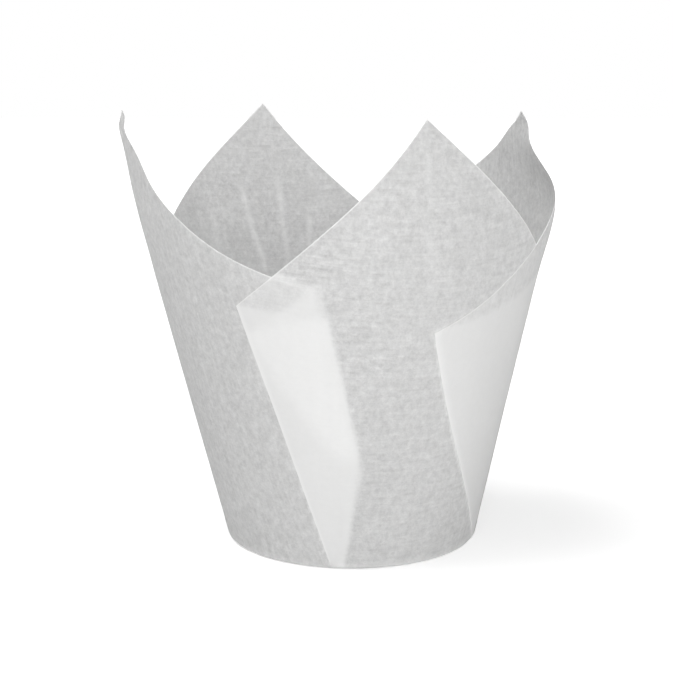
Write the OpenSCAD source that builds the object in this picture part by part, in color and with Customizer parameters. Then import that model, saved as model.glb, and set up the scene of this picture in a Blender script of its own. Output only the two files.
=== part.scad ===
// Tulip baking cup: one square sheet of greaseproof paper, pressed over a round former.
// The sheet's corners stand up as four petals, and the paper between them is laid in four
// knife pleats that all turn the same way round. One pleat has its inner fold tucked back.
// Frame: base on z = 0, axis up +Z, front towards -Y. Turns are degrees to the right of the
// front, seen by someone who stands before it. Lists go front, right, back, left.

/* [Sheet] */
// Side of the square sheet
side = 160; // [140:1:190]
// Thickness of the paper
paper = 0.1; // [0.05:0.01:0.14]
// Air between two layers of a pleat
air = 0.2; // [0.15:0.05:0.4]

/* [Cup] */
// Diameter of the base, to where the wall's line would meet the table
base_d = 50; // [40:1:60]
// Lean of the wall out from upright
flare = 13.5; // [8:0.5:18]
// Radius of the rounding between base and wall
foot_r = 3; // [2:0.5:5]
// Lean of the whole cup to its left
sway = 1.3; // [0:0.1:3]

/* [Petals] */
// Turn of each petal's tip
tip_at = [24, 110, 205, 284]; // [0:1:360]
// How far each tip is bent in from the wall's line
tip_in = [9, 6.5, 3, 1]; // [0:0.5:12]
// Height up the wall at which the petals begin to bend in
bend_from = 45; // [30:1:60]
// Half width of the bend round the cup, in degrees
bend_spread = 40; // [25:1:60]
// How far each petal swells out at its left shoulder
shoulder_out = [0, 1.4, 0, 0]; // [0:0.1:2]
// How far each petal is pinched in beside its tip
pinch_in = [0, 2.1, 0, 1.1]; // [0:0.1:3]
// Turn from each petal's tip to the middle of its pinch
pinch_at = [0, -13, 0, 8]; // [-16:1:16]
// How far each tip's end curls in
curl_in = [0, 0, 0, 2]; // [0:0.1:3]
// How much longer or shorter each petal stands than a sheet laid dead centre
tip_reach = [-0.7, -0.4, 0.7, 0.4]; // [-2:0.1:2]
// Angle at the tip from the petal's middle to its left edge
left_angle = [43, 47, 43, 45]; // [40:1:50]
// Angle at the tip from the petal's middle to its right edge
right_angle = [46, 49, 46, 50]; // [40:1:50]
// How far the left edge sags in at its middle
left_sag = [-0.5, 0, 1, 0]; // [-3:0.1:3]
// How far the right edge sags in at its middle
right_sag = [-1.4, -2.5, -1, 3]; // [-3:0.1:3]

/* [Pleats, each at the left end of its petal] */
// Turn at which each outer fold meets the sheet's edge
outer_top = [-31, 26, 137, 214]; // [-40:1:360]
// Turn at which each inner fold meets the sheet's edge
inner_top = [-7, 78, 183, 273]; // [-40:1:360]
// Turn at which each outer fold meets the base
outer_foot = [-9, 73, 167, 255]; // [-40:1:360]
// Turn at which each inner fold meets the base
inner_foot = [-3, 76, 172, 261]; // [-40:1:360]

/* [Tuck in the front pleat] */
// Height up the wall at which the tuck begins
tuck_rise = 19; // [14:1:24]
// Turn of the point at which the tuck begins
tuck_at = 4; // [0:1:8]
// Turn of the tuck's upper corner
tuck_top = -26; // [-28:1:-14]
// How far the tuck's upper corner lies below the corner of the inner fold
tuck_drop = 9; // [4:0.5:12]
// How far the edge behind the tuck lies below the corner of the inner fold
back_drop = 6; // [3:0.5:9]

/* [Hidden] */

// Columns across a petal, a pleat's middle layer and a tuck's flap, and rows up the parts
petal_n = 24;
mid_n = 7;
flap_n = 3;
foot_n = 4;
wall_n = 15;

// Shoulder, pinch and curl, each a round mound: turn from the petal's tip, share of the way up
// from the bend's start to the tip, half width in degrees, and half height as such a share
shoulder = [-25, 0.43, 16, 0.2];
pinch = [0, 0.82, 14, 0.145];
curl = [0, 1, 12, 0.05];

// Share of the wall's rows below the tuck, of a petal from which its right end is drawn over
// to a bent fold, and of a petal's free width left flat at each side as its layer changes
tuck_share = 0.36;
draw_share = 0.6;
room_share = 0.12;

// Layers that lie under a petal at a pleat, and those that the tuck adds
pleat_layers = 2;
tuck_layers = 2;

// The wall is a cone, so it unrolls flat. A place on it is a turn and a distance from its point.
spread = sin(flare);
foot_turn = 90 - flare;
flat_r = base_d / 2 - foot_r * tan(foot_turn / 2);
foot_arc = foot_r * foot_turn * PI / 180;
wall_r = flat_r + foot_r * sin(foot_turn);
wall_z = foot_r * (1 - cos(foot_turn));
q_foot = wall_r / spread;
q_tip = q_foot + side / sqrt(2) - flat_r - foot_arc;
q_tuck = q_foot + tuck_rise;
layer = paper + air;

// Height over which a layer lifts to clear the tuck
lift_run = tuck_rise / 3;

// Rows: the centre, a ring half way out, the flat's rim, the rounding, the wall
row_flat = 2;
row_foot = row_flat + foot_n;
row_tuck = row_foot + round(wall_n * tuck_share);
row_top = row_foot + wall_n;

// Small helpers
function mix(a, b, t) = a + (b - a) * t;
function clamp(t) = max(0, min(1, t));
function ease(t) = let (c = clamp(t)) c * c * (3 - 2 * c);
function unroll(turn, q) = q * [sin(turn * spread), cos(turn * spread)];
function turn_of(p) = atan2(p[0], p[1]) / spread;
function apart(a, b) = (a - b + 900) % 360 - 180;

// Tip of petal i, and the corner where its edge meets a fold at the given turn
function tip(i) = unroll(tip_at[i], q_tip + tip_reach[i]);
function corner(i, angle, turn) =
    let (between = abs(turn - tip_at[i]) * spread)
    unroll(turn, (q_tip + tip_reach[i]) * sin(angle) / sin(angle + between));
function left_corner(i) = corner(i, left_angle[i], outer_top[i]);
function right_corner(i) =
    corner(i, right_angle[i], inner_top[(i + 1) % 4] + (i == 3 ? 360 : 0));

// Edge of petal i: t runs from -1 at its left corner through 0 at its tip to 1 at its right
function edge(i, t) =
    let (end = t < 0 ? left_corner(i) : right_corner(i))
    let (sag = t < 0 ? left_sag[i] : right_sag[i])
    let (along = end - tip(i))
    let (s = abs(t))
    let (inward = sign(t) * [along[1], -along[0]] / norm(along))
    tip(i) + along * s + inward * sag * 4 * s * (1 - s);

// The folds of pleat i from the base up, v from 0 to 1. A tucked fold bends at the tuck.
v_tuck = (row_tuck - row_foot) / wall_n;
function bent(i, v, top) =
    let (foot = unroll(inner_foot[i], q_foot))
    let (kink = unroll(tuck_at, q_tuck))
    i > 0 ? mix(foot, top, v)
    : v <= v_tuck ? mix(foot, kink, v / v_tuck)
    : mix(kink, top, (v - v_tuck) / (1 - v_tuck));
function lowered(p, drop) = p * (1 - drop / norm(p));
function inner_corner(i) = corner((i + 3) % 4, right_angle[(i + 3) % 4],
    inner_top[i] + (i == 0 ? 360 : 0));
function turned(p, turn) =
    let (a = turn * spread)
    [p[0] * cos(a) + p[1] * sin(a), p[1] * cos(a) - p[0] * sin(a)];
function inner_end(i) = turned(inner_corner(i), i == 0 ? -360 : 0);
function outer_fold(i, v) = mix(unroll(outer_foot[i], q_foot), left_corner(i), v);
function inner_fold(i, v) = bent(i, v, inner_end(i));
function back_fold(i, v) = bent(i, v, i == 0 ? lowered(inner_end(0), back_drop) : inner_end(i));
function tuck_fold(v) = bent(0, v, unroll(tuck_top, norm(inner_end(0)) - tuck_drop));

// Petal i at column share u: straight columns, drawn over to the bent fold at its right end
function petal(i, u, v) =
    let (next = (i + 1) % 4)
    let (full = i == 3 ? 360 : 0)
    let (left_foot = outer_foot[i])
    let (right_foot = inner_foot[next] + full)
    let (straight = mix(unroll(mix(left_foot, right_foot, u), q_foot), edge(i, 2 * u - 1), v))
    let (last = mix(unroll(right_foot, q_foot), edge(i, 1), v))
    let (fold = turned(inner_fold(next, v), full))
    straight + (fold - last) * pow(clamp((u - draw_share) / (1 - draw_share)), 2);

// Layers: how many layers out a place lies. Outer layers lift earlier, to clear the tuck, by
// a number of lift runs below it.
function lift(q, runs) = clamp((q - q_tuck) / lift_run + runs);
function petal_layer(i, turn, q) =
    let (over = pleat_layers + (i == 0 ? tuck_layers * lift(q, 2) : 0))
    let (start = i == 0 ? max(inner_top[0], inner_foot[0], tuck_at)
        : max(inner_top[i], inner_foot[i]))
    let (next = (i + 1) % 4)
    let (stop = min(outer_top[next], outer_foot[next]) + (i == 3 ? 360 : 0))
    let (room = (stop - start) * room_share)
    over * (1 - ease((turn - start - room) / (stop - start - 2 * room)));
function mid_layer(i, q) = 1 + (i == 0 ? tuck_layers * lift(q, 1) : 0);

// Columns in order round the sheet: [kind, petal or pleat, share, facing, fold, sharing rule].
// Kinds: 0 petal, 1 flap under the tuck, 2 flap over it, 3 middle layer.
// Facing is 1 where the sheet runs to the right, and -1 where it doubles back.
function flap_columns(kind, facing) =
    [for (j = [0:flap_n]) [kind, 0, kind == 1 ? j / flap_n : 1 - j / flap_n,
        facing, j == 0 || j == flap_n ? 1 : 0, 1]];
function pleat_columns(i) = concat(
    i == 0 ? flap_columns(1, -1) : [],
    i == 0 ? flap_columns(2, 1) : [],
    [for (j = [0:mid_n]) [3, i, j / mid_n, -1, j == 0 || j == mid_n ? 1 : 0, j == 0 ? 3 : 2]]);
function petal_columns(i) =
    [for (j = [0:petal_n]) [0, i, j / petal_n, 1, j == 0 || j == petal_n ? 1 : 0, j == 0 ? 4 : 0]];
columns = [for (i = [0:3]) each concat(pleat_columns(i), petal_columns(i))];
column_n = len(columns);
pleat_start = [for (i = [0:3]) i * (mid_n + 1 + petal_n + 1) + (i > 0 ? 2 * (flap_n + 1) : 0)];
mid_start = [for (i = [0:3]) pleat_start[i] + (i == 0 ? 2 * (flap_n + 1) : 0)];

// Turn at which a pleat's layers gather on the base
function gather(i) = (outer_foot[i] + inner_foot[i]) / 2;
function base_turn(c) =
    c[0] == 0 ? mix(gather(c[1]), gather((c[1] + 1) % 4) + (c[1] == 3 ? 360 : 0), c[2])
    : gather(c[1]);

// Unrolled place of a column at height share v
function flat_place(c, v) =
    c[0] == 0 ? petal(c[1], c[2], v)
    : c[0] == 3 ? mix(back_fold(c[1], v), outer_fold(c[1], v), c[2])
    : mix(c[0] == 1 ? inner_fold(0, v) : back_fold(0, v), tuck_fold(v), c[2]);
function layer_at(c, turn, q) =
    c[0] == 0 ? petal_layer(c[1], turn, q)
    : c[0] == 3 ? mid_layer(c[1], q)
    : c[0];

// How far a place stands in from the cone: what petal i adds at a turn from its tip and a share
// of the way up from the bend's start, and the sum over all four
function bell(x) = exp(-x * x);
function mound(m, beside, share) = bell((beside - m[0]) / m[2]) * bell((share - m[1]) / m[3]);
function petal_bend(i, beside, share) =
    tip_in[i] * pow(clamp(share), 2) * bell(beside / bend_spread)
        - shoulder_out[i] * mound(shoulder, beside, share)
        + pinch_in[i] * mound(pinch, beside - pinch_at[i], share)
        + curl_in[i] * mound(curl, beside, share);
function bend(turn, up) =
    let (share = (up - bend_from) / (q_tip - q_foot - bend_from))
    [for (i = [0:3]) petal_bend(i, apart(turn, tip_at[i]), share)] * [1, 1, 1, 1];

// A place in space, and the way out from the paper there: [turn, radius, height, slope]
function wall_place(c, v) =
    let (p = flat_place(c, v))
    let (q = norm(p))
    let (turn = turn_of(p))
    [turn, q * spread - bend(turn, q - q_foot) + layer * layer_at(c, turn, q),
        wall_z + (q - q_foot) * cos(flare), flare];
function base_place(c, row) =
    let (turn = base_turn(c))
    row <= row_flat ? [turn, flat_r * row / row_flat, 0, 90]
    : let (k = row - row_flat)
    let (a = foot_turn * k / foot_n)
    [turn, flat_r + foot_r * sin(a)
        + layer * layer_at(c, turn, q_foot) * clamp(k / (foot_n - 1)),
        foot_r * (1 - cos(a)), 90 - a];
function place(c, row) =
    row < row_foot ? base_place(c, row) : wall_place(c, (row - row_foot) / wall_n);

// The sheet's two faces: half the paper to each side, and to the side at a fold
function face_point(c, row, face) =
    let (s = place(c, row))
    let (out = [sin(s[0]), -cos(s[0]), 0])
    let (right = [cos(s[0]), sin(s[0]), 0])
    let (away = out * cos(s[3]) - [0, 0, sin(s[3])])
    let (fold = row > row_flat ? c[4] : 0)
    let (lean = [-tan(sway) * s[2], 0, 0])
    s[1] * out + [0, 0, s[2] + paper / 2] + lean
        + face * paper / 2 * (c[3] * away - fold * right);

// Where layers have no width yet, their columns share one point
function shared(n, row) =
    let (c = columns[n])
    let (before = (pleat_start[c[1]] + column_n - 1) % column_n)
    row == 0 ? column_n - 1
    : c[5] == 0 ? n
    : row <= row_flat ? before
    : c[5] == 4 ? n
    : row < row_foot - 1 ? before
    : c[5] == 1 ? (row < row_tuck ? before
        : row == row_tuck ? pleat_start[0] + (c[0] - 1) * (flap_n + 1) : n)
    : row < row_foot ? mid_start[c[1]]
    : n;
face_size = column_n * (row_top + 1);
function id(n, row, face) = (face > 0 ? 0 : face_size) + shared(n, row) * (row_top + 1) + row;

// Faces: each cell is split along its shorter diagonal, and cells with no width drop out
function has_area(t) = t[0] != t[1] && t[1] != t[2] && t[2] != t[0];
function cell(points, a, b, c, d, short_ac) =
    short_ac ? [[a, b, c], [a, c, d]] : [[a, b, d], [b, c, d]];
function turned_over(t) = [t[2], t[1], t[0]];

module liner() {
    points = [for (face = [1, -1]) for (c = columns) for (row = [0:row_top])
        face_point(c, row, face)];
    outside = [for (n = [0:column_n - 1]) for (row = [0:row_top - 1])
        let (m = (n + 1) % column_n)
        let (a = id(n, row, 1))
        let (b = id(m, row, 1))
        let (c = id(m, row + 1, 1))
        let (d = id(n, row + 1, 1))
        let (short_ac = norm(points[a] - points[c]) < norm(points[b] - points[d]))
        for (t = cell(points, a, b, c, d, short_ac)) if (has_area(t)) t];
    inside = [for (t = outside) turned_over(t + face_size * [1, 1, 1])];
    rim = [for (n = [0:column_n - 1])
        let (m = (n + 1) % column_n)
        for (t = [[id(n, row_top, 1), id(m, row_top, 1), id(m, row_top, -1)],
            [id(n, row_top, 1), id(m, row_top, -1), id(n, row_top, -1)]]) t];
    color("#efefec") polyhedron(points, [for (t = concat(outside, inside, rim)) turned_over(t)]);
}

liner();
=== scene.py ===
"""Tulip baking cup: one square sheet of greaseproof paper, pressed over a round former.

The sheet's corners stand up as four petals, and the paper between them is laid in four knife
pleats. Petals and pleats are surfaces worked out on grids, on the cone that the wall follows.
Lengths are in metres and angles in radians. Turns are measured round the cup to the right of
the front, as someone who stands before it sees them. Lists go front, right, back, left.
"""
import math

import bpy
import numpy as np
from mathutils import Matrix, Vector


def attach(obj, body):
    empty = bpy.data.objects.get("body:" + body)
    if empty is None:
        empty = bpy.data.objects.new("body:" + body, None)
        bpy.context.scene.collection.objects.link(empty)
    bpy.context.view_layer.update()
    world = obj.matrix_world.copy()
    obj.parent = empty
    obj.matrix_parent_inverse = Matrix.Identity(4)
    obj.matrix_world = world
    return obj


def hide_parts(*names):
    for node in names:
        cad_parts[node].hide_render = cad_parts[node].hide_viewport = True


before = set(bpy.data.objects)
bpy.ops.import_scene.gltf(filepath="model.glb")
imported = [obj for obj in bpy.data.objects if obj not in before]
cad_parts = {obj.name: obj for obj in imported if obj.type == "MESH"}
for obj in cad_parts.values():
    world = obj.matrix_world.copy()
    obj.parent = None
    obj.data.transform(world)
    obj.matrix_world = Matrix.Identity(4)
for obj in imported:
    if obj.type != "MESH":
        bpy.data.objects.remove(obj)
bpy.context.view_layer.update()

MM = 0.001
DEG = math.pi / 180
FULL_TURN = 2 * math.pi

# The sheet's side, its thickness and the air between layers, then the cup's base, the lean of its
# wall, the rounding at its foot, and how far the whole cup leans to the left
SIDE = 160 * MM
PAPER = 0.07 * MM
AIR = 0.03 * MM
BASE_D = 50 * MM
FLARE = 13.5 * DEG
FOOT_R = 1.2 * MM
SWAY = 1.3 * DEG

# The turn at which each petal's tip stands, how much further than half the sheet's diagonal it
# reaches, and how far it bends in, from a height up the wall and fading round the cup
TIP_AT = np.array([24, 110, 205, 284]) * DEG
TIP_REACH = np.array([-0.7, -0.4, 0.7, 0.4]) * MM
TIP_IN = np.array([9, 6.5, 3, 1]) * MM
BEND_FROM = 46.4 * MM
BEND_SPREAD = 40 * DEG

# How far each petal's shoulder swells out, how far it is pinched in beside its tip and at what
# turn from the tip, how far its end curls in, and how far it rolls out just below the end
SHOULDER_OUT = np.array([0, 1.95, 0, 0.6]) * MM
PINCH_IN = np.array([0, 1.45, 0, 1.2]) * MM
PINCH_TURN = np.array([0, -13, 0, 12]) * DEG
CURL_IN = np.array([0, 0, 0, 2.4]) * MM
ROLL_OUT = np.array([0, 0.75, 0, 0]) * MM

# Where those four forms lie: the turn from the tip, the share of the way up from the bend's
# start to the tip, and the half widths round the cup and up it
SHOULDER = (-22 * DEG, 0.52, 16 * DEG, 0.24)
PINCH = (0, 0.82, 14 * DEG, 0.145)
CURL = (6 * DEG, 1, 9 * DEG, 0.06)
ROLL = (-5 * DEG, 0.93, 9 * DEG, 0.06)

# The angles at which each petal's two cut edges leave the tip, and how far they sag inwards
LEFT_ANGLE = np.array([43, 47, 43, 45]) * DEG
RIGHT_ANGLE = np.array([46, 49, 46, 50]) * DEG
LEFT_SAG = np.array([-0.5, 0, 1, 0]) * MM
RIGHT_SAG = np.array([-1.4, -2.5, -1, 3]) * MM

# The pleats, each at the left end of its petal: the turns of their outer and inner folds at the
# rim and at the foot, and how far each outer fold sags to the left
OUTER_TOP = np.array([-31, 26, 137, 214]) * DEG
INNER_TOP = np.array([-7, 78, 183, 273]) * DEG
OUTER_FOOT = np.array([-9, 73, 167, 255]) * DEG
INNER_FOOT = np.array([-3, 76, 172, 261]) * DEG
FOLD_SAG = np.array([-0.4, 2, 0, 0]) * MM

# Near its ends a petal is drawn over to its folds within this share of its width, and above its
# pleat's own edge it settles on the sheet below it within this run
PULL_SHARE = 0.4
SETTLE_RUN = 8 * MM
# Share of a petal's width kept at either end before it begins to ease to the wall's line
LEVEL_ROOM = 0.12

# The tuck in the front pleat: how far up the wall and at what turn the inner fold bends, the turn
# at which the tuck's own fold ends, and how far below the inner fold's top that end and the
# middle layer's corner lie
TUCK_RISE = 20.4 * MM
TUCK_AT = 4 * DEG
TUCK_TOP = -26 * DEG
TUCK_DROP = 9 * MM
BACK_DROP = 6 * MM

# Slow waves of the wall: the count round the cup, where it starts, the rise in which it moves on
# by a radian, and the depth. They grow from the foot over a rise of their own.
BROAD_WAVES = ((3, 0.7, 40 * MM, 0.10 * MM),
               (7, 2.1, -23 * MM, 0.10 * MM),
               (11, 4.0, 17 * MM, 0.08 * MM))
BROAD_RISE = 30 * MM

# Fine flutes up the wall: counts and depths of their two waves, the rise over which they grow,
# and from where, over what rise and by how much they fade
FLUTE_COUNT = (61, 43)
FLUTE_DEPTH = (0.030 * MM, 0.018 * MM)
FLUTE_RISE = 8 * MM
FLUTE_FADE_FROM = 50 * MM
FLUTE_FADE_RISE = 35 * MM
FLUTE_FADE = 0.6

# Short wrinkles at the foot: their two counts, their depth, and the height and half width of the
# band in which they lie
WRINKLE_COUNT = (37, 46)
WRINKLE_DEPTH = 0.05 * MM
WRINKLE_AT = 1.5 * MM
WRINKLE_BAND = 3 * MM

# Soft creases in the wall, each from a turn and height to another, with its half width and how
# far it stands in
CREASES = ((119.5 * DEG, 79 * MM, 124 * DEG, 68 * MM, 5 * MM, 0.6 * MM),)

# Pale streaks where the paper was bent, each from a turn and height to another, with its half
# width and strength
STREAKS = ((227 * DEG, 53 * MM, 226.5 * DEG, 67 * MM, 0.9 * MM, 0.3),
           (209 * DEG, 49 * MM, 212.8 * DEG, 62 * MM, 1 * MM, 0.4),
           (212.8 * DEG, 60 * MM, 214.8 * DEG, 71 * MM, 1 * MM, 0.35),
           (200.5 * DEG, 51 * MM, 202 * DEG, 72 * MM, 1 * MM, 0.4),
           (193 * DEG, 54 * MM, 191.8 * DEG, 65 * MM, 0.9 * MM, 0.3),
           (23.5 * DEG, 55 * MM, 23.5 * DEG, 85 * MM, 1.2 * MM, 0.12))
# Shares of a streak's length between which it fades in from either end, the noise that breaks
# the streaks up, and the share of them that it leaves at least
STREAK_ENDS = (-0.2, 0.3)
STREAK_PATCHES = 380.0
STREAK_KEPT = 0.35

# How strong the painted highlight is at the cut edge, along the outer folds, where the crease is also
# whitened and the shade of the fold's side is lifted, and round the foot, where the shade under the
# rounding is lifted, then the half width of the foot's highlight line and how far down the rounding it
# lies
RIM_HIGHLIGHT = 0.7
FOLD_CREASE_AND_HIGHLIGHT = 0.5
FOOT_HIGHLIGHT = 0.5
FOOT_HIGHLIGHT_HALF_WIDTH = 0.9 * MM
FOOT_HIGHLIGHT_DOWN = 0.6

# The view: the camera's place, how far it looks down, its focal length in the photograph's
# pixels, and how far left of its own middle the photograph's middle lies
CAMERA = (0, -291.25 * MM, 92.48 * MM)
LOOK_DOWN = 10.08 * DEG
PHOTO_PX = 673
FOCAL_PX = 1459.9
AIM_PX = 15.66
SENSOR = 36

# The light from all round, and two soft lamps: their power, place, aim and size
SKY_LIGHT = 0.48
KEY_POWER = 6.4
KEY_PLACE = (0.13, -0.94, 0.28)
TOP_POWER = 4.8
TOP_PLACE = (-0.38, -0.05, 0.87)
LAMP_AIM = (0, 0, 0.04)
LAMP_SIZE = 0.6

# The dark side of the studio: how much dimmer the light is there, and between which places of a
# direction one metre long that sets in, going left and going down
LEFT_SHADE = 0.75
SHADE_LEFT = (-0.1, -0.9)
SHADE_LOW = (0.45, 0.05)

# The floor's half width and colour, and how much it glows for the camera, near the cup and far off
FLOOR = 3
FLOOR_WHITE = (0.93, 0.93, 0.93, 1)
NEAR_GLOW = 0.3
FAR_GLOW = 1
GLOW_FROM = 0.12
GLOW_TO = 0.8

# How wide the painted stack light's edge at each pleat's inner fold looks through the paper above it,
# at its foot and at its top, over a rise, and how far left of the fold its full brightness begins there
INNER_BLUR_FOOT = 0.8 * MM
INNER_BLUR = np.array([3.5, 1.5, 1.5, 1.5]) * MM
INNER_SHIFT = np.array([0.4, 1.6]) * MM
BLUR_RISE = 60 * MM

# How wide the painted stack light's other edges look at hidden lines: folds and cut edges on top, the
# cut edge of the petal before, the middle layer's, the tuck's fold, its flaps' cut edges, and the tuck's
# beginning going up
EDGE_BLUR = 0.2 * MM
BEFORE_BLUR = 0.5 * MM
MIDDLE_BLUR = 1.0 * MM
TUCK_BLUR = 4 * MM
FLAP_BLUR = 2 * MM
TUCK_BEGINS = 5 * MM

# The paper's own brightness with none to four other sheets lying with it, raised with more sheets by
# painted light that stands in for the light those sheets send back, its blue against that, the white
# of its painted highlights and wear, its see-through share, and how far the light in it is whitened
TONES_AND_STACK_LIGHT = (0.605, 0.71, 0.785, 0.81, 0.832)
TONE_BLUE = 0.995
HIGHLIGHT_AND_WEAR_WHITE = (0.93, 0.93, 0.925, 1)
WHITE = (1, 1, 1, 1)
SEE_THROUGH = 0.42
THROUGH_WHITE = 0.5
ROUGHNESS = 0.55

# The grain: the way it runs on the flat sheet, how close its clouds lie and its lines along and
# across that way, how strong they are on a single sheet and where two others lie with it, the
# lines' share in them, and their depth
GRAIN_TURN = -18 * DEG
CLOUD_SCALE = 800.0
LINE_SCALE = (150, 1500, 1)
CLOUDS_SINGLE = 1.05
CLOUDS_BACKED = 0.1
LINE_SHARE = 0.28
BUMP = 0.16 * MM

# How finely the sheet is drawn: steps across a petal, a middle layer and a flap, steps over the
# base, the rounding and the wall, the short step at the cut edge with the wall's length that it
# is measured by, the share of the wall's steps below the tuck, and the angle of a sharp edge
PETAL_N = 88
MID_N = 28
FLAP_N = 12
FLAT_N = 2
FOOT_N = 8
WALL_N = 72
RIM_STEP = 0.3 * MM
WALL_LENGTH = 60 * MM
BELOW_TUCK = 0.36
SHARP_FROM = 50 * DEG

# The wall is a cone, so it unrolls flat: a place on it is a turn and a distance from its point
SPREAD = math.sin(FLARE)
FOOT_TURN = math.pi / 2 - FLARE
FLAT_R = BASE_D / 2 - FOOT_R * math.tan(FOOT_TURN / 2)
FOOT_ARC = FOOT_R * FOOT_TURN
Q_FOOT = (FLAT_R + FOOT_R * math.sin(FOOT_TURN)) / SPREAD
WALL_Z = FOOT_R * (1 - math.cos(FOOT_TURN))
Q_TIP = Q_FOOT + SIDE / math.sqrt(2) - FLAT_R - FOOT_ARC
Q_TUCK = Q_FOOT + TUCK_RISE
LAYER = PAPER + AIR
LIFT_RUN = TUCK_RISE / 3
ROW_FOOT = FLAT_N + FOOT_N
ROW_TUCK = ROW_FOOT + round(WALL_N * BELOW_TUCK)
ROW_TOP = ROW_FOOT + WALL_N
V_TUCK = (ROW_TUCK - ROW_FOOT) / WALL_N


def mix(a, b, t):
    """The place a share t of the way from a to b."""
    return a + (b - a) * t


def ease(t):
    """A share held between 0 and 1 that starts and stops gently: t squared times 3 less 2 t."""
    t = np.clip(t, 0, 1)
    return t * t * (3 - 2 * t)


def unroll(turn, q):
    """The flat place of a turn and a distance from the cone's point, last axis x and y."""
    turn, q = np.broadcast_arrays(turn, q)
    return np.stack([q * np.sin(turn * SPREAD), q * np.cos(turn * SPREAD)], -1)


def turned(p, turn):
    """A flat place carried round the cone by a turn, which is a rotation of the flat sheet."""
    a = turn * SPREAD
    x, y = p[..., 0], p[..., 1]
    return np.stack([x * math.cos(a) + y * math.sin(a), y * math.cos(a) - x * math.sin(a)], -1)


def polar(p):
    """Turn and distance from the cone's point of flat places."""
    return np.arctan2(p[..., 0], p[..., 1]) / SPREAD, np.linalg.norm(p, axis=-1)


def beyond(p, a, b):
    """How far places lie to the right of the line from a up to b, in metres on the flat sheet."""
    along = (b - a) / np.linalg.norm(b - a)
    return (p[..., 0] - a[0]) * along[1] - (p[..., 1] - a[1]) * along[0]


def tip(i):
    """Flat place of petal i's tip: half the sheet's diagonal from the middle of the base."""
    return unroll(TIP_AT[i], Q_TIP + TIP_REACH[i])


def corner(i, angle, turn):
    """Where petal i's straight edge meets the wall's line at a turn, by the sine rule in the
    triangle of the cone's point, the tip and the corner."""
    between = abs(turn - TIP_AT[i]) * SPREAD
    return unroll(turn, (Q_TIP + TIP_REACH[i]) * math.sin(angle) / math.sin(angle + between))


def left_corner(i):
    """Flat place where petal i's left edge ends, at its outer fold."""
    return corner(i, LEFT_ANGLE[i], OUTER_TOP[i])


def right_corner(i):
    """Flat place where petal i's right edge ends, at the inner fold of the next pleat."""
    return corner(i, RIGHT_ANGLE[i], INNER_TOP[(i + 1) % 4] + (FULL_TURN if i == 3 else 0))


def inner_end(i):
    """Flat place of the top corner of pleat i's inner fold."""
    return turned(right_corner((i + 3) % 4), -FULL_TURN if i == 0 else 0)


def edge(i, t):
    """Petal i's cut edge: t runs from -1 at its left corner through 0 at its tip to 1 at its
    right corner. Each side is a straight line with a small sag, a parabola square to it."""
    t = np.asarray(t)[..., None]
    left = t < 0
    along = np.where(left, left_corner(i), right_corner(i)) - tip(i)
    long = np.linalg.norm(along, axis=-1, keepdims=True)
    s = np.abs(t)
    inward = np.sign(t) * np.stack([along[..., 1], -along[..., 0]], -1) / long
    sag = np.where(left, LEFT_SAG[i], RIGHT_SAG[i])
    return tip(i) + along * s + inward * sag * 4 * s * (1 - s)


def inner_line(i, v, top):
    """A fold line of pleat i up to a given top. In the front pleat it bends at the tuck."""
    v = np.asarray(v)[..., None]
    foot = unroll(INNER_FOOT[i], Q_FOOT)
    if i > 0:
        return mix(foot, top, v)
    kink = unroll(TUCK_AT, Q_TUCK)
    return np.where(v <= V_TUCK, mix(foot, kink, v / V_TUCK),
                    mix(kink, top, (v - V_TUCK) / (1 - V_TUCK)))


def inner_fold(i, v):
    """The fold at the right end of the petal under pleat i."""
    return inner_line(i, v, inner_end(i))


def back_end(i):
    """Top corner of the middle layer at the inner fold, which lies lower behind the tuck."""
    end = inner_end(i)
    return end * (1 - BACK_DROP / np.linalg.norm(end)) if i == 0 else end


def back_fold(i, v):
    """The fold at the right end of pleat i's middle layer."""
    return inner_line(i, v, back_end(i))


def tuck_end():
    """Upper corner of the tuck's own fold."""
    return unroll(TUCK_TOP, np.linalg.norm(inner_end(0)) - TUCK_DROP)


def tuck_fold(v):
    """The fold at the left end of the tuck's two flaps."""
    return inner_line(0, v, tuck_end())


def fold_sag(i, v):
    """How far the fold at petal i's left end sags to the left of its straight line: a parabola
    square to the line, one place for each share v of the way up it."""
    along = left_corner(i) - unroll(OUTER_FOOT[i], Q_FOOT)
    left = np.array([-along[1], along[0]]) / np.linalg.norm(along)
    v = np.asarray(v)[..., None]
    return left * FOLD_SAG[i] * 4 * v * (1 - v)


def outer_fold(i, v):
    """The fold at the left end of petal i."""
    straight = mix(unroll(OUTER_FOOT[i], Q_FOOT), left_corner(i), np.asarray(v)[..., None])
    return straight + fold_sag(i, v)


def heights():
    """Shares up a column: even steps, then one short step of RIM_STEP to the cut edge."""
    rows = np.linspace(0, 1, WALL_N)
    return np.append(rows * (1 - RIM_STEP / WALL_LENGTH), 1.0)


def petal_place(i, u, v):
    """Petal i: straight columns from the foot to the cut edge. They are drawn over to its sagging
    fold near the left end and to the bent fold of the next pleat near the right end, each by the
    square of the share of the way there."""
    after = (i + 1) % 4
    full = FULL_TURN if i == 3 else 0
    foot_right = INNER_FOOT[after] + full
    foot = unroll(mix(OUTER_FOOT[i], foot_right, u), Q_FOOT)[:, None, :]
    top = edge(i, 2 * u - 1)[:, None, :]
    up = v[None, :, None]
    straight = mix(foot, top, up)
    last = mix(unroll(foot_right, Q_FOOT), edge(i, 1), v[:, None])
    fold = turned(inner_fold(after, v), full)
    pull = (np.clip((u - 1 + PULL_SHARE) / PULL_SHARE, 0, 1) ** 2)[:, None, None]
    left_pull = (np.clip((PULL_SHARE - u) / PULL_SHARE, 0, 1) ** 2)[:, None, None]
    return straight + (fold - last)[None] * pull + fold_sag(i, v)[None] * left_pull


def middle_place(i, u, v):
    """Middle layer of pleat i: straight across from its inner fold to its outer fold."""
    return mix(back_fold(i, v)[None], outer_fold(i, v)[None], u[:, None, None])


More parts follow.
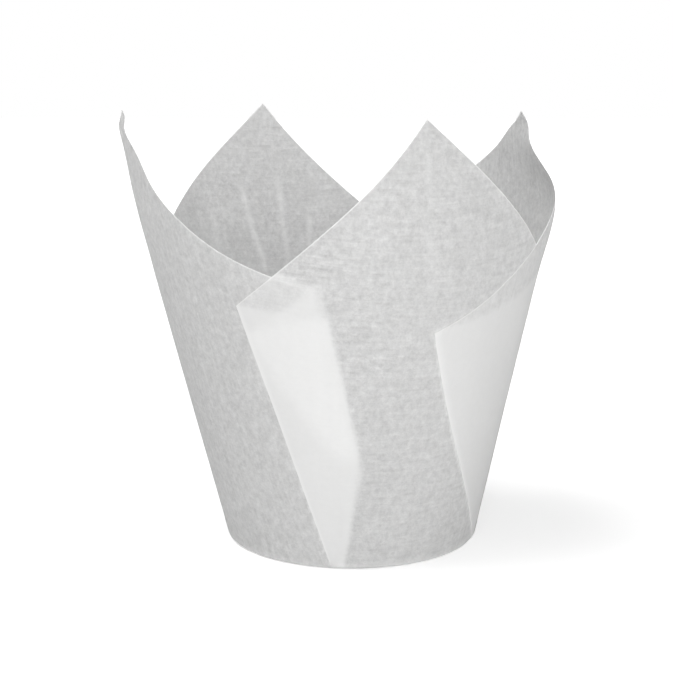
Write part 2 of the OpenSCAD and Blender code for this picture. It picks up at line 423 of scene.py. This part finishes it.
def flap_place(over, u, v):
    """One flap of the tuck: straight across between the inner fold and the tuck's fold. The
    one under the tuck runs out to the tuck's fold, and the one over it runs back."""
    start = back_fold(0, v) if over else inner_fold(0, v)
    share = 1 - u if over else u
    return mix(start[None], tuck_fold(v)[None], share[:, None, None])


def lift(q, start):
    """How far a layer has lifted to clear the tuck: an even climb from 0 to 1 over LIFT_RUN, from
    a given height above the tuck's bend."""
    return np.clip((q - Q_TUCK - start) / LIFT_RUN, 0, 1)


def petal_layer(i, flat):
    """How many layers out petal i lies: over its pleat at its left end, down to the one sheet
    left above the pleat's own edge, and easing to the wall's line before its right end."""
    turn, q = polar(flat)
    over = 2 + 2 * lift(q, -2 * LIFT_RUN) if i == 0 else 2
    over = mix(over, 1, ease(beyond(flat, inner_end(i), left_corner(i)) / SETTLE_RUN))
    start = max(INNER_TOP[i], INNER_FOOT[i], TUCK_AT if i == 0 else -FULL_TURN)
    after = (i + 1) % 4
    stop = min(OUTER_TOP[after], OUTER_FOOT[after]) + (FULL_TURN if i == 3 else 0)
    room = (stop - start) * LEVEL_ROOM
    return over * (1 - ease((turn - start - room) / (stop - start - 2 * room)))


def middle_layer(i, q):
    """How many layers out pleat i's middle layer lies: 1, and 3 where it clears the tuck."""
    return 1 + 2 * lift(q, -LIFT_RUN) if i == 0 else np.ones_like(q)


def gather(i):
    """Turn at which pleat i's layers come together on the base."""
    return (OUTER_FOOT[i] + INNER_FOOT[i]) / 2


def bell(x):
    """A bell curve: 1 at 0, falling off to nothing by about 2."""
    return np.exp(-x * x)


def mound(form, beside, share):
    """A round mound, a bell curve in turn times one in height: its turn from the petal's tip,
    its share of the way up from the bend's start to the tip, and its half widths both ways."""
    return bell((beside - form[0]) / form[2]) * bell((share - form[1]) / form[3])


def apart(turn, at):
    """How far a turn lies from another round the cup, between minus and plus half a turn."""
    return (turn - at + math.pi) % FULL_TURN - math.pi


def bend(turn, up):
    """How far the petals stand in from the cone. Each bends in by the square of the share of
    the way up from the bend's start to the tip, faded round the cup by a bell curve, and adds
    its shoulder, its pinch beside the tip, the curl at its end and the tip's small roll
    outwards, each a round mound."""
    share = (up - BEND_FROM) / (Q_TIP - Q_FOOT - BEND_FROM)
    total = np.zeros_like(turn)
    for i in range(4):
        beside = apart(turn, TIP_AT[i])
        total = total + TIP_IN[i] * np.clip(share, 0, 1) ** 2 * bell(beside / BEND_SPREAD)
        total = total - SHOULDER_OUT[i] * mound(SHOULDER, beside, share)
        total = total + PINCH_IN[i] * mound(PINCH, beside - PINCH_TURN[i], share)
        total = total + CURL_IN[i] * mound(CURL, beside, share)
        total = total - ROLL_OUT[i] * mound(ROLL, beside, share)
    return total


def broad_waves(turn, up):
    """Unevenness of the pressed wall: the sum of three slow sine waves round the cup, which move
    on with height and grow evenly from the foot."""
    waves = sum(depth * np.sin(count * turn + start + up / rise)
                for count, start, rise, depth in BROAD_WAVES)
    return waves * np.clip(up / BROAD_RISE, 0, 1)


def flutes(turn, up):
    """Fine flutes that the press leaves up the wall: the sum of two sine waves round the cup, one
    of which sways with height, eased in from the foot, fading above the petals' shoulders, and
    swelling slowly round the cup."""
    grow = ease(up / FLUTE_RISE) * (1 - FLUTE_FADE * ease((up - FLUTE_FADE_FROM) / FLUTE_FADE_RISE))
    swell = 0.6 + 0.4 * np.sin(5 * turn + up / (19 * MM))
    waves = (FLUTE_DEPTH[0] * np.sin(FLUTE_COUNT[0] * turn + 0.8 * np.sin(up / (9 * MM)))
             + FLUTE_DEPTH[1] * np.sin(FLUTE_COUNT[1] * turn + 3.3))
    return waves * grow * swell


def foot_wrinkles(turn, up):
    """Short wrinkles where the wall is pressed round the foot: two waves of nearly the same
    count, so that they swell and die away round the cup, under a bell curve up the wall."""
    waves = (np.sin(WRINKLE_COUNT[0] * turn + up / (2 * MM))
             + np.sin(WRINKLE_COUNT[1] * turn + 1.2 - up / (3 * MM)))
    return WRINKLE_DEPTH * waves * bell((up - WRINKLE_AT) / WRINKLE_BAND)


def creases(turn, up):
    """Soft creases: each runs straight between two places on the wall and falls off evenly to
    both sides, which is a triangle across it, eased off beyond its ends."""
    total = np.zeros_like(turn)
    for low_turn, low, high_turn, high, width, depth in CREASES:
        share = (up - low) / (high - low)
        across = apart(turn, mix(low_turn, high_turn, share)) * (Q_FOOT + up) * SPREAD
        ends = ease(share + 1) * ease(2 - share)
        total = total + depth * np.clip(1 - np.abs(across) / width, 0, 1) * ends
    return total


def relief(turn, up):
    """How far the wall stands out from its smooth shape, the same for every layer."""
    return broad_waves(turn, up) + flutes(turn, up) + foot_wrinkles(turn, up) - creases(turn, up)


class Columns:
    """The sheet's columns in order round it, with the flat place of each wall row."""

    def __init__(self):
        """Starts with no columns."""
        self.flat, self.level, self.facing, self.fold, self.rule = [], [], [], [], []
        self.base_turn, self.part, self.kind, self.share = [], [], [], []
        self.pleat_start, self.mid_start = [], []

    def count(self):
        """How many columns there are so far."""
        return sum(len(p) for p in self.flat)

    def add(self, kind, part, flat, level, facing, rules, base_turn, share):
        """Adds one run of columns: a petal, a middle layer or a flap. Both its ends are folds, and
        its first column may share points by a rule of its own."""
        n = len(flat)
        fold = np.zeros(n)
        fold[[0, -1]] = 1
        rule = np.full(n, rules[1])
        rule[0] = rules[0]
        self.flat.append(flat)
        self.level.append(level)
        self.facing.append(np.full(n, facing))
        self.fold.append(fold)
        self.rule.append(rule)
        self.kind.append(np.full(n, kind))
        self.part.append(np.full(n, part))
        self.base_turn.append(np.broadcast_to(base_turn, n))
        self.share.append(share)

    def close(self):
        """Joins the runs into whole arrays."""
        for name in "flat level facing fold rule base_turn part kind share".split():
            setattr(self, name, np.concatenate(getattr(self, name)))
        self.total = len(self.flat)


# The kinds of run, and the rules by which a column shares points with others
PETAL, FLAP_UNDER, FLAP_OVER, MIDDLE = 0, 1, 2, 3
FREE, FLAP, MID, MID_FIRST, PETAL_FIRST = 0, 1, 2, 3, 4


def sheet_columns():
    """Lays out the whole sheet: pleat 0, petal 0, pleat 1, petal 1 and so on round the cup."""
    cols = Columns()
    v = heights()
    for i in range(4):
        cols.pleat_start.append(cols.count())
        if i == 0:
            u = np.linspace(0, 1, FLAP_N + 1)
            for kind, facing in ((FLAP_UNDER, -1), (FLAP_OVER, 1)):
                flat = flap_place(kind == FLAP_OVER, u, v)
                level = np.full(flat.shape[:2], float(kind))
                cols.add(kind, 0, flat, level, facing, (FLAP, FLAP), gather(0), u)
        cols.mid_start.append(cols.count())
        u = np.linspace(0, 1, MID_N + 1)
        flat = middle_place(i, u, v)
        cols.add(MIDDLE, i, flat, middle_layer(i, polar(flat)[1]), -1, (MID_FIRST, MID), gather(i), u)
        u = np.linspace(0, 1, PETAL_N + 1)
        flat = petal_place(i, u, v)
        end = gather((i + 1) % 4) + (FULL_TURN if i == 3 else 0)
        level = petal_layer(i, flat)
        cols.add(PETAL, i, flat, level, 1, (PETAL_FIRST, FREE), mix(gather(i), end, u), u)
    cols.close()
    return cols


def sheet_places(cols):
    """Turn, radius, height and slope of every place on the sheet's middle, columns by rows. The
    base is flat, the rounding is an arc, and the wall follows the cone."""
    turn, q = polar(cols.flat)
    up = q - Q_FOOT
    radius = q * SPREAD - bend(turn, up) + LAYER * cols.level + relief(turn, up)
    height = WALL_Z + up * math.cos(FLARE)
    slope = np.full_like(turn, FLARE)
    low_turn = np.repeat(cols.base_turn[:, None], ROW_FOOT, axis=1)
    row = np.arange(ROW_FOOT)
    arc = np.clip((row - FLAT_N) / FOOT_N, 0, 1) * FOOT_TURN
    steps = np.clip((row - FLAT_N) / (FOOT_N - 1), 0, 1)
    low_radius = (np.minimum(row / FLAT_N, 1) * FLAT_R + FOOT_R * np.sin(arc)
                  + LAYER * cols.level[:, :1] * steps)
    low_height = np.broadcast_to(FOOT_R * (1 - np.cos(arc)), low_radius.shape)
    low_slope = np.broadcast_to(math.pi / 2 - arc, low_radius.shape)
    low_up = (arc - FOOT_TURN) * FOOT_R - np.clip(FLAT_N - row, 0, None) / FLAT_N * FLAT_R
    low_up = np.broadcast_to(low_up, low_radius.shape)
    return tuple(np.concatenate(pair, axis=1) for pair in (
        (low_turn, turn), (low_radius, radius), (low_height, height), (low_slope, slope),
        (low_up, up)))


def face_points(cols, places, face):
    """One face of the sheet: its middle, moved half the paper's thickness out or in along the
    wall's own direction, and as far to the side at a fold. The whole cup leans by SWAY."""
    turn, radius, height, slope, _ = places
    out = np.stack([np.sin(turn), -np.cos(turn), 0 * turn], -1)
    right = np.stack([np.cos(turn), np.sin(turn), 0 * turn], -1)
    away = out * np.cos(slope)[..., None]
    away[..., 2] -= np.sin(slope)
    fold = np.repeat(cols.fold[:, None], turn.shape[1], axis=1)
    fold[:, :FLAT_N + 1] = 0
    points = radius[..., None] * out
    points[..., 0] -= math.tan(SWAY) * height
    points[..., 2] += height + PAPER / 2
    side = cols.facing[:, None, None] * away - fold[..., None] * right
    return points + face * PAPER / 2 * side


def shared_columns(cols):
    """For each column and row, the column whose point it uses. Where layers have no width yet,
    their columns share one point."""
    n = cols.total
    own = np.repeat(np.arange(n)[:, None], ROW_TOP + 1, axis=1)
    before = (np.array(cols.pleat_start)[cols.part] - 1) % n
    middle = np.array(cols.mid_start)[cols.part]
    flap_first = cols.pleat_start[0] + (cols.kind - 1) * (FLAP_N + 1)
    rule = cols.rule
    own[:, 0] = n - 1
    grouped = rule != FREE
    own[grouped, 1:FLAT_N + 1] = before[grouped, None]
    joined = grouped & (rule != PETAL_FIRST)
    own[joined, 1:ROW_FOOT - 1] = before[joined, None]
    mids = (rule == MID) | (rule == MID_FIRST)
    own[mids, ROW_FOOT - 1] = middle[mids]
    flaps = rule == FLAP
    own[flaps, 1:ROW_TUCK] = before[flaps, None]
    own[flaps, ROW_TUCK] = flap_first[flaps]
    return own


def gap(points, p, r):
    """How far apart the points with numbers p and r lie."""
    return np.linalg.norm(points[p] - points[r], axis=-1)


def sheet_faces(own, points):
    """Triangles between neighbouring columns and rows, each cell split along its shorter
    diagonal. Cells with no width drop out."""
    rows = own.shape[1]
    index = own * rows + np.arange(rows)
    a, d = index[:, :-1], index[:, 1:]
    b, c = np.roll(a, -1, axis=0), np.roll(d, -1, axis=0)
    flat = points.reshape(-1, 3)
    cut_ac = (gap(flat, a, c) < gap(flat, b, d))[..., None]
    first = np.where(cut_ac, np.stack([a, b, c], -1), np.stack([a, b, d], -1))
    second = np.where(cut_ac, np.stack([a, c, d], -1), np.stack([b, c, d], -1))
    tris = np.concatenate([first.reshape(-1, 3), second.reshape(-1, 3)])
    return tris[(tris[:, 0] != tris[:, 1]) & (tris[:, 1] != tris[:, 2]) & (tris[:, 2] != tris[:, 0])]


def past_fold(i, p):
    """How far places lie to the right of the fold at petal i's left end: the distance from its
    straight line, with the parabola of its sag added."""
    foot = unroll(OUTER_FOOT[i], Q_FOOT)
    along = left_corner(i) - foot
    share = np.clip((p - foot) @ along / (along @ along), 0, 1)
    return beyond(p, foot, left_corner(i)) + FOLD_SAG[i] * 4 * share * (1 - share)


def inside_line(distance, blur):
    """A share that is 1 where a distance is above 0 and eases off to 0 over the blur below it."""
    return ease(distance / blur + 1)


def hidden_sheets(i, p, on_petal, on_before):
    """How many other sheets lie with this one at flat places near pleat i, the count that sets the
    painted stack light. Between its folds the petal, the middle layer, the petal before it and in the
    front pleat the tuck's two flaps lie together, each up to its own edge. Lines are blurred as paper
    above makes them."""
    q = np.linalg.norm(p, axis=-1)
    foot = unroll(INNER_FOOT[i], Q_FOOT)
    kink = unroll(TUCK_AT, Q_TUCK) if i == 0 else foot
    before = tip((i + 3) % 4) if i else turned(tip(3), -FULL_TURN)
    reach = np.clip((q - Q_FOOT) / BLUR_RISE, 0, 1)
    past_inner = beyond(p, kink, inner_end(i))
    if i == 0:
        past_inner = np.where(q < Q_TUCK, beyond(p, foot, kink), past_inner)
    shift = mix(INNER_SHIFT[0], INNER_SHIFT[1], reach)
    inner = inside_line(-past_inner - shift, mix(INNER_BLUR_FOOT, INNER_BLUR[i], reach))
    outer = inside_line(past_fold(i, p), EDGE_BLUR)
    petal = inside_line(beyond(p, left_corner(i), tip(i)), EDGE_BLUR)
    petal_before = inside_line(beyond(p, before, inner_end(i)), BEFORE_BLUR)
    middle = inside_line(beyond(p, left_corner(i), back_end(i)), MIDDLE_BLUR)
    others = middle + np.where(on_petal, petal_before, np.where(on_before, petal, 1))
    if i == 0:
        tuck = inside_line(beyond(p, kink, tuck_end()), TUCK_BLUR) * ease((q - Q_TUCK) / TUCK_BEGINS)
        upper = inside_line(beyond(p, tuck_end(), back_end(0)), FLAP_BLUR)
        lower = inside_line(beyond(p, tuck_end(), inner_end(0)), FLAP_BLUR)
        others = others + tuck * (upper + lower)
    return inner * outer * others


def backing(cols, flat):
    """How many other sheets lie with each place of the sheet, over all four pleats. The front
    pleat is met at both ends of the sheet's run."""
    total = np.zeros(flat.shape[:-1])
    petal = cols.kind == PETAL
    none = np.zeros_like(petal)[:, None]
    for i in range(4):
        on_petal = (petal & (cols.part == i))[:, None]
        on_before = (petal & (cols.part == (i + 3) % 4))[:, None]
        total = total + hidden_sheets(i, flat, on_petal, on_before)
    last = turned(flat, -FULL_TURN)
    return total + hidden_sheets(0, last, none, (petal & (cols.part == 3))[:, None])


def add_attribute(mesh, name, values):
    """Writes one number per point to the mesh."""
    layer = mesh.attributes.new(name, "FLOAT", "POINT")
    layer.data.foreach_set("value", values.astype(np.float32))


def outer_folds(cols):
    """1 on the columns at the left end of each petal, where its pleat's outer fold lies."""
    ends = (cols.kind == PETAL) & (cols.share == 0) | (cols.kind == MIDDLE) & (cols.share == 1)
    return ends.astype(float)


def sheet_map(cols, flat, turn, up):
    """Where each place lay on the flat sheet before it was folded, in metres from its middle:
    each petal is turned to its own corner of the sheet, with its tip half a diagonal out, and
    the base is a plain disc. The two blend over the rounding between them."""
    tips = np.where(cols.kind == PETAL, cols.part, (cols.part + 3) % 4)
    lap = np.where((cols.kind != PETAL) & (cols.part == 0), -FULL_TURN, 0)
    a = -(TIP_AT[tips] + lap)[:, None] * SPREAD
    x = flat[..., 0] * np.cos(a) + flat[..., 1] * np.sin(a)
    y = flat[..., 1] * np.cos(a) - flat[..., 0] * np.sin(a) - Q_TIP + SIDE / math.sqrt(2)
    quarter = tips[:, None] * math.pi / 2
    wall = np.stack([x * np.cos(quarter) + y * np.sin(quarter),
                     y * np.cos(quarter) - x * np.sin(quarter)], -1)
    reach = FLAT_R + FOOT_ARC + up
    base = np.stack([reach * np.sin(turn - TIP_AT[0]), reach * np.cos(turn - TIP_AT[0])], -1)
    return mix(base, wall, ease(1 + up / FOOT_ARC)[..., None])


def make_liner():
    """Builds the folded sheet as one closed mesh, with what its material reads at each point."""
    cols = sheet_columns()
    places = sheet_places(cols)
    outside, inside = (face_points(cols, places, face) for face in (1, -1))
    own = shared_columns(cols)
    tris = sheet_faces(own, outside)
    size = outside.shape[0] * outside.shape[1]
    rim = own[:, -1] * (ROW_TOP + 1) + ROW_TOP
    after = np.roll(rim, -1)
    rim_faces = np.concatenate([np.stack([after, rim, rim + size], -1),
                                np.stack([after, rim + size, after + size], -1)])
    faces = np.concatenate([tris, tris[:, ::-1] + size, rim_faces[:, ::-1]])
    points = np.concatenate([outside.reshape(-1, 3), inside.reshape(-1, 3)])
    used, faces = np.unique(faces, return_inverse=True)
    mesh = bpy.data.meshes.new("liner_sheet")
    mesh.from_pydata(points[used].tolist(), [], faces.reshape(-1, 3).tolist())

    turn, _, _, _, up = places
    flat = np.concatenate([unroll(turn[:, :ROW_FOOT], Q_FOOT + up[:, :ROW_FOOT]), cols.flat], axis=1)
    # The sheets behind each place: the material paints light by this count, brighter over more sheets
    sheets = backing(cols, flat) * ease((up + FOOT_ARC) / FOOT_ARC)
    # Painted highlights: lighter along the cut edge, along the outer folds, where the crease is also
    # whitened and the fold's shaded side lifted, and in a line round the foot that lifts its shade
    row = np.broadcast_to(np.arange(ROW_TOP + 1), turn.shape)
    lit_and_worn = np.maximum((row == ROW_TOP) * RIM_HIGHLIGHT, outer_folds(cols)[:, None] * FOLD_CREASE_AND_HIGHLIGHT)
    lit_and_worn = np.maximum(lit_and_worn, FOOT_HIGHLIGHT * bell((up + FOOT_ARC * FOOT_HIGHLIGHT_DOWN) / FOOT_HIGHLIGHT_HALF_WIDTH))
    for name, values in (("backing", sheets), ("highlight_and_wear", lit_and_worn)):
        add_attribute(mesh, name, np.tile(values.reshape(-1), 2)[used])
    for name, place in (("flat_sheet", sheet_map(cols, flat, turn, up)),
                        ("up_the_wall", np.stack([turn * BASE_D, up], -1))):
        layer = mesh.uv_layers.new(name=name)
        corners = np.tile(place.reshape(-1, 2), (2, 1))[used][faces.reshape(-1)]
        layer.data.foreach_set("uv", corners.astype(np.float32).reshape(-1))
    mesh.set_sharp_from_angle(angle=SHARP_FROM)
    mesh.shade_smooth()
    sheet = bpy.data.objects.new("folded_sheet", mesh)
    bpy.context.collection.objects.link(sheet)
    return sheet


# Places of the two colours and of the result among a colour Mix node's sockets
MIX_A, MIX_B, MIX_OUT = 6, 7, 2


def add(nodes, kind, **values):
    """A new shader node with some of its settings and inputs given. Spaces in an input's name
    are written as underscores."""
    node = nodes.new("ShaderNode" + kind)
    for name, value in values.items():
        if hasattr(node, name):
            setattr(node, name, value)
        else:
            node.inputs[name.replace("_", " ")].default_value = value
    return node


def maths(nodes, links, operation, *values):
    """A maths node on two or three values, each a number or another node's output."""
    node = nodes.new("ShaderNodeMath")
    node.operation = operation
    for socket, value in zip(node.inputs, values):
        if isinstance(value, (int, float)):
            socket.default_value = value
        else:
            links.new(value, socket)
    return node.outputs[0]


def vector_maths(nodes, links, operation, *values, out=0):
    """A vector maths node on two values, each another node's output."""
    node = nodes.new("ShaderNodeVectorMath")
    node.operation = operation
    for socket, value in zip(node.inputs, values):
        links.new(value, socket)
    return node.outputs[out]


def streak_group():
    """A pale streak as a mask: a bell curve of how far a place lies from the line between two
    ends, eased off near both ends."""
    group = bpy.data.node_groups.new("pale_streak", "ShaderNodeTree")
    for name, kind in (("Place", "NodeSocketVector"), ("Low end", "NodeSocketVector"),
                       ("High end", "NodeSocketVector"), ("Half width", "NodeSocketFloat"),
                       ("Strength", "NodeSocketFloat")):
        group.interface.new_socket(name, in_out="INPUT", socket_type=kind)
    group.interface.new_socket("Mask", in_out="OUTPUT", socket_type="NodeSocketFloat")
    nodes, links = group.nodes, group.links
    given = nodes.new("NodeGroupInput").outputs
    from_low = vector_maths(nodes, links, "SUBTRACT", given["Place"], given["Low end"])
    line = vector_maths(nodes, links, "SUBTRACT", given["High end"], given["Low end"])
    along = vector_maths(nodes, links, "DOT_PRODUCT", from_low, line, out="Value")
    whole = vector_maths(nodes, links, "DOT_PRODUCT", line, line, out="Value")
    share = maths(nodes, links, "DIVIDE", along, whole)
    foot = nodes.new("ShaderNodeVectorMath")
    foot.operation = "SCALE"
    links.new(line, foot.inputs[0])
    links.new(share, foot.inputs["Scale"])
    away = vector_maths(nodes, links, "DISTANCE", from_low, foot.outputs[0], out="Value")
    steps = maths(nodes, links, "DIVIDE", away, given["Half width"])
    squared = maths(nodes, links, "MULTIPLY", steps, steps)
    across = maths(nodes, links, "EXPONENT", maths(nodes, links, "MULTIPLY", squared, -1))
    begin, end = STREAK_ENDS
    ends = []
    for low, high in ((begin, end), (1 - begin, 1 - end)):
        fade = add(nodes, "MapRange", interpolation_type="SMOOTHSTEP", From_Min=low, From_Max=high)
        links.new(share, fade.inputs["Value"])
        ends.append(fade.outputs[0])
    mask = maths(nodes, links, "MULTIPLY", across, maths(nodes, links, "MULTIPLY", *ends))
    final = nodes.new("NodeGroupOutput")
    links.new(maths(nodes, links, "MULTIPLY", mask, given["Strength"]), final.inputs["Mask"])
    return group


def all_streaks(nodes, links):
    """The sum of the pale streaks over the wall, broken up by a soft noise."""
    place = add(nodes, "UVMap", uv_map="up_the_wall")
    group = streak_group()
    total = 0.0
    for low_turn, low, high_turn, high, width, strength in STREAKS:
        streak = nodes.new("ShaderNodeGroup")
        streak.node_tree = group
        links.new(place.outputs[0], streak.inputs["Place"])
        streak.inputs["Low end"].default_value = (low_turn * BASE_D, low, 0)
        streak.inputs["High end"].default_value = (high_turn * BASE_D, high, 0)
        streak.inputs["Half width"].default_value = width
        streak.inputs["Strength"].default_value = strength
        total = maths(nodes, links, "ADD", streak.outputs["Mask"], total)
    patches = add(nodes, "TexNoise", Scale=STREAK_PATCHES, Detail=2.0)
    links.new(place.outputs[0], patches.inputs["Vector"])
    kept = add(nodes, "MapRange", From_Min=0.3, From_Max=0.6, To_Min=STREAK_KEPT)
    links.new(patches.outputs["Fac"], kept.inputs["Value"])
    return maths(nodes, links, "MULTIPLY", total, kept.outputs[0])


def tone_and_stack_light(nodes, links, stack):
    """The paper's own colour, lightened by painted light the more other sheets lie with it, in place of
    the light that those sheets send back.
    """
    share = add(nodes, "MapRange", From_Max=4.0)
    links.new(stack, share.inputs["Value"])
    tone = nodes.new("ShaderNodeValToRGB")
    links.new(share.outputs[0], tone.inputs[0])
    stops = tone.color_ramp.elements
    for k in range(1, len(TONES_AND_STACK_LIGHT) - 1):
        stops.new(k / (len(TONES_AND_STACK_LIGHT) - 1))
    for stop, value in zip(stops, TONES_AND_STACK_LIGHT):
        stop.color = (value, value, value * TONE_BLUE, 1)
    return tone.outputs[0]


def paper_grain(nodes, links):
    """The paper's clouds and its fine lines, each a noise around 0. The lines run one way on the
    flat sheet, so they lie across the front petal and up the side ones."""
    coords = nodes.new("ShaderNodeTexCoord")
    cloud = add(nodes, "TexNoise", Scale=CLOUD_SCALE, Detail=5.0, Roughness=0.85)
    links.new(coords.outputs["Object"], cloud.inputs["Vector"])
    sheet = add(nodes, "UVMap", uv_map="flat_sheet")
    laid = nodes.new("ShaderNodeMapping")
    laid.inputs["Rotation"].default_value = (0, 0, GRAIN_TURN)
    laid.inputs["Scale"].default_value = LINE_SCALE
    links.new(sheet.outputs[0], laid.inputs["Vector"])
    line = add(nodes, "TexNoise", Scale=1.0, Detail=3.0, Roughness=0.55)
    links.new(laid.outputs[0], line.inputs["Vector"])
    return (maths(nodes, links, "SUBTRACT", cloud.outputs["Fac"], 0.5),
            maths(nodes, links, "SUBTRACT", line.outputs["Fac"], 0.5))


def paper_material():
    """Greaseproof paper: white, matt and a little see-through, with painted light where sheets lie behind
    and painted highlights at its cut edge, outer folds and foot.
    """
    mat = bpy.data.materials.new("greaseproof_paper")
    mat.use_nodes = True
    nodes, links = mat.node_tree.nodes, mat.node_tree.links
    nodes.clear()
    out = nodes.new("ShaderNodeOutputMaterial")
    blend = nodes.new("ShaderNodeMixShader")
    blend.inputs[0].default_value = SEE_THROUGH
    body = add(nodes, "BsdfPrincipled", Roughness=ROUGHNESS)
    through = nodes.new("ShaderNodeBsdfTranslucent")
    links.new(body.outputs[0], blend.inputs[1])
    links.new(through.outputs[0], blend.inputs[2])
    links.new(blend.outputs[0], out.inputs[0])

    stack = add(nodes, "Attribute", attribute_name="backing").outputs["Fac"]
    cloud, line = paper_grain(nodes, links)
    amount = add(nodes, "MapRange", From_Max=2.0, To_Min=CLOUDS_SINGLE, To_Max=CLOUDS_BACKED)
    links.new(stack, amount.inputs["Value"])
    mottle = maths(nodes, links, "MULTIPLY_ADD", line, LINE_SHARE, cloud)
    scaled = maths(nodes, links, "MULTIPLY_ADD", mottle, amount.outputs[0], 1)
    grain = add(nodes, "Mix", data_type="RGBA", blend_type="MULTIPLY")
    grain.inputs["Factor"].default_value = 1
    links.new(tone_and_stack_light(nodes, links, stack), grain.inputs[MIX_A])
    links.new(scaled, grain.inputs[MIX_B])

    # The painted highlights at the cut edge, outer folds and foot, with the folds' crease whitening and
    # the pale streaks where the paper was bent, mix the paper towards one white
    lit_and_worn = add(nodes, "Attribute", attribute_name="highlight_and_wear").outputs["Fac"]
    lighter = add(nodes, "Mix", data_type="RGBA")
    lighter.inputs[MIX_B].default_value = HIGHLIGHT_AND_WEAR_WHITE
    pale = maths(nodes, links, "MAXIMUM", lit_and_worn, all_streaks(nodes, links))
    links.new(pale, lighter.inputs["Factor"])
    links.new(grain.outputs[MIX_OUT], lighter.inputs[MIX_A])
    links.new(lighter.outputs[MIX_OUT], body.inputs["Base Color"])
    paler = add(nodes, "Mix", data_type="RGBA")
    paler.inputs["Factor"].default_value = THROUGH_WHITE
    paler.inputs[MIX_B].default_value = WHITE
    links.new(lighter.outputs[MIX_OUT], paler.inputs[MIX_A])
    links.new(paler.outputs[MIX_OUT], through.inputs["Color"])

    bump = add(nodes, "Bump", Distance=BUMP)
    links.new(amount.outputs[0], bump.inputs["Strength"])
    links.new(maths(nodes, links, "MULTIPLY_ADD", cloud, 0.5, line), bump.inputs["Height"])
    links.new(bump.outputs[0], body.inputs["Normal"])
    return mat


def background_rays(nodes, links):
    """A value that is 1 for camera, glossy and transmission rays and 0 for the rest."""
    rays = nodes.new("ShaderNodeLightPath").outputs
    seen = maths(nodes, links, "MAXIMUM", rays["Is Camera Ray"], rays["Is Glossy Ray"])
    return maths(nodes, links, "MAXIMUM", seen, rays["Is Transmission Ray"])


def make_floor():
    """A pale floor that keeps the cup's soft shadow. For camera rays it glows a little, and more
    with its distance from the cup, so that it meets the white background."""
    mesh = bpy.data.meshes.new("floor")
    mesh.from_pydata([(-FLOOR, -FLOOR, 0), (FLOOR, -FLOOR, 0), (FLOOR, FLOOR, 0), (-FLOOR, FLOOR, 0)],
                     [], [(0, 1, 2, 3)])
    floor = bpy.data.objects.new("floor", mesh)
    bpy.context.collection.objects.link(floor)
    mat = bpy.data.materials.new("pale_floor")
    mat.use_nodes = True
    nodes, links = mat.node_tree.nodes, mat.node_tree.links
    body = nodes["Principled BSDF"]
    body.inputs["Base Color"].default_value = FLOOR_WHITE
    body.inputs["Roughness"].default_value = 0.9
    body.inputs["Specular IOR Level"].default_value = 0.1
    body.inputs["Emission Color"].default_value = WHITE
    coords = nodes.new("ShaderNodeTexCoord")
    away = nodes.new("ShaderNodeVectorMath")
    away.operation = "LENGTH"
    links.new(coords.outputs["Object"], away.inputs[0])
    glow = add(nodes, "MapRange", From_Min=GLOW_FROM, From_Max=GLOW_TO, To_Min=NEAR_GLOW, To_Max=FAR_GLOW)
    links.new(away.outputs["Value"], glow.inputs["Value"])
    seen = maths(nodes, links, "MULTIPLY", background_rays(nodes, links), glow.outputs[0])
    links.new(seen, body.inputs["Emission Strength"])
    mesh.materials.append(mat)


def make_world():
    """White light from all round, dimmer low down on the left where the studio is dark, and a
    white background where the camera looks."""
    world = bpy.data.worlds.new("studio")
    bpy.context.scene.world = world
    world.use_nodes = True
    nodes, links = world.node_tree.nodes, world.node_tree.links
    sky = nodes["Background"]
    sky.inputs["Color"].default_value = WHITE
    way = nodes.new("ShaderNodeSeparateXYZ")
    links.new(nodes.new("ShaderNodeTexCoord").outputs["Generated"], way.inputs[0])
    sides = []
    for axis, (begin, end) in (("X", SHADE_LEFT), ("Z", SHADE_LOW)):
        side = add(nodes, "MapRange", interpolation_type="SMOOTHSTEP", From_Min=begin, From_Max=end)
        links.new(way.outputs[axis], side.inputs["Value"])
        sides.append(side.outputs[0])
    dark = maths(nodes, links, "MULTIPLY", *sides)
    lit = maths(nodes, links, "MULTIPLY_ADD", dark, -LEFT_SHADE * SKY_LIGHT, SKY_LIGHT)
    links.new(maths(nodes, links, "MAXIMUM", background_rays(nodes, links), lit), sky.inputs["Strength"])


def area_light(name, place, power):
    """A square soft lamp at a place, turned to face the cup."""
    data = bpy.data.lights.new(name, "AREA")
    data.size = LAMP_SIZE
    data.energy = power
    lamp = bpy.data.objects.new(name, data)
    bpy.context.collection.objects.link(lamp)
    lamp.location = place
    lamp.rotation_euler = (Vector(LAMP_AIM) - Vector(place)).to_track_quat("-Z", "Y").to_euler()


def make_camera():
    """The photograph's view: from the front, a little above the rim, looking down 10 degrees."""
    data = bpy.data.cameras.new("camera")
    data.sensor_width = SENSOR
    data.lens = SENSOR * FOCAL_PX / PHOTO_PX
    data.clip_start = 0.01
    camera = bpy.data.objects.new("camera", data)
    bpy.context.collection.objects.link(camera)
    camera.location = CAMERA
    camera.rotation_euler = (math.pi / 2 - LOOK_DOWN, 0, math.atan(AIM_PX / FOCAL_PX))
    bpy.context.scene.camera = camera


liner = make_liner()
liner.data.materials.append(paper_material())
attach(liner, "root")
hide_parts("liner")

make_floor()
make_world()
make_camera()
area_light("key", KEY_PLACE, KEY_POWER)
area_light("top", TOP_PLACE, TOP_POWER)
bpy.context.scene.view_settings.view_transform = "Standard"
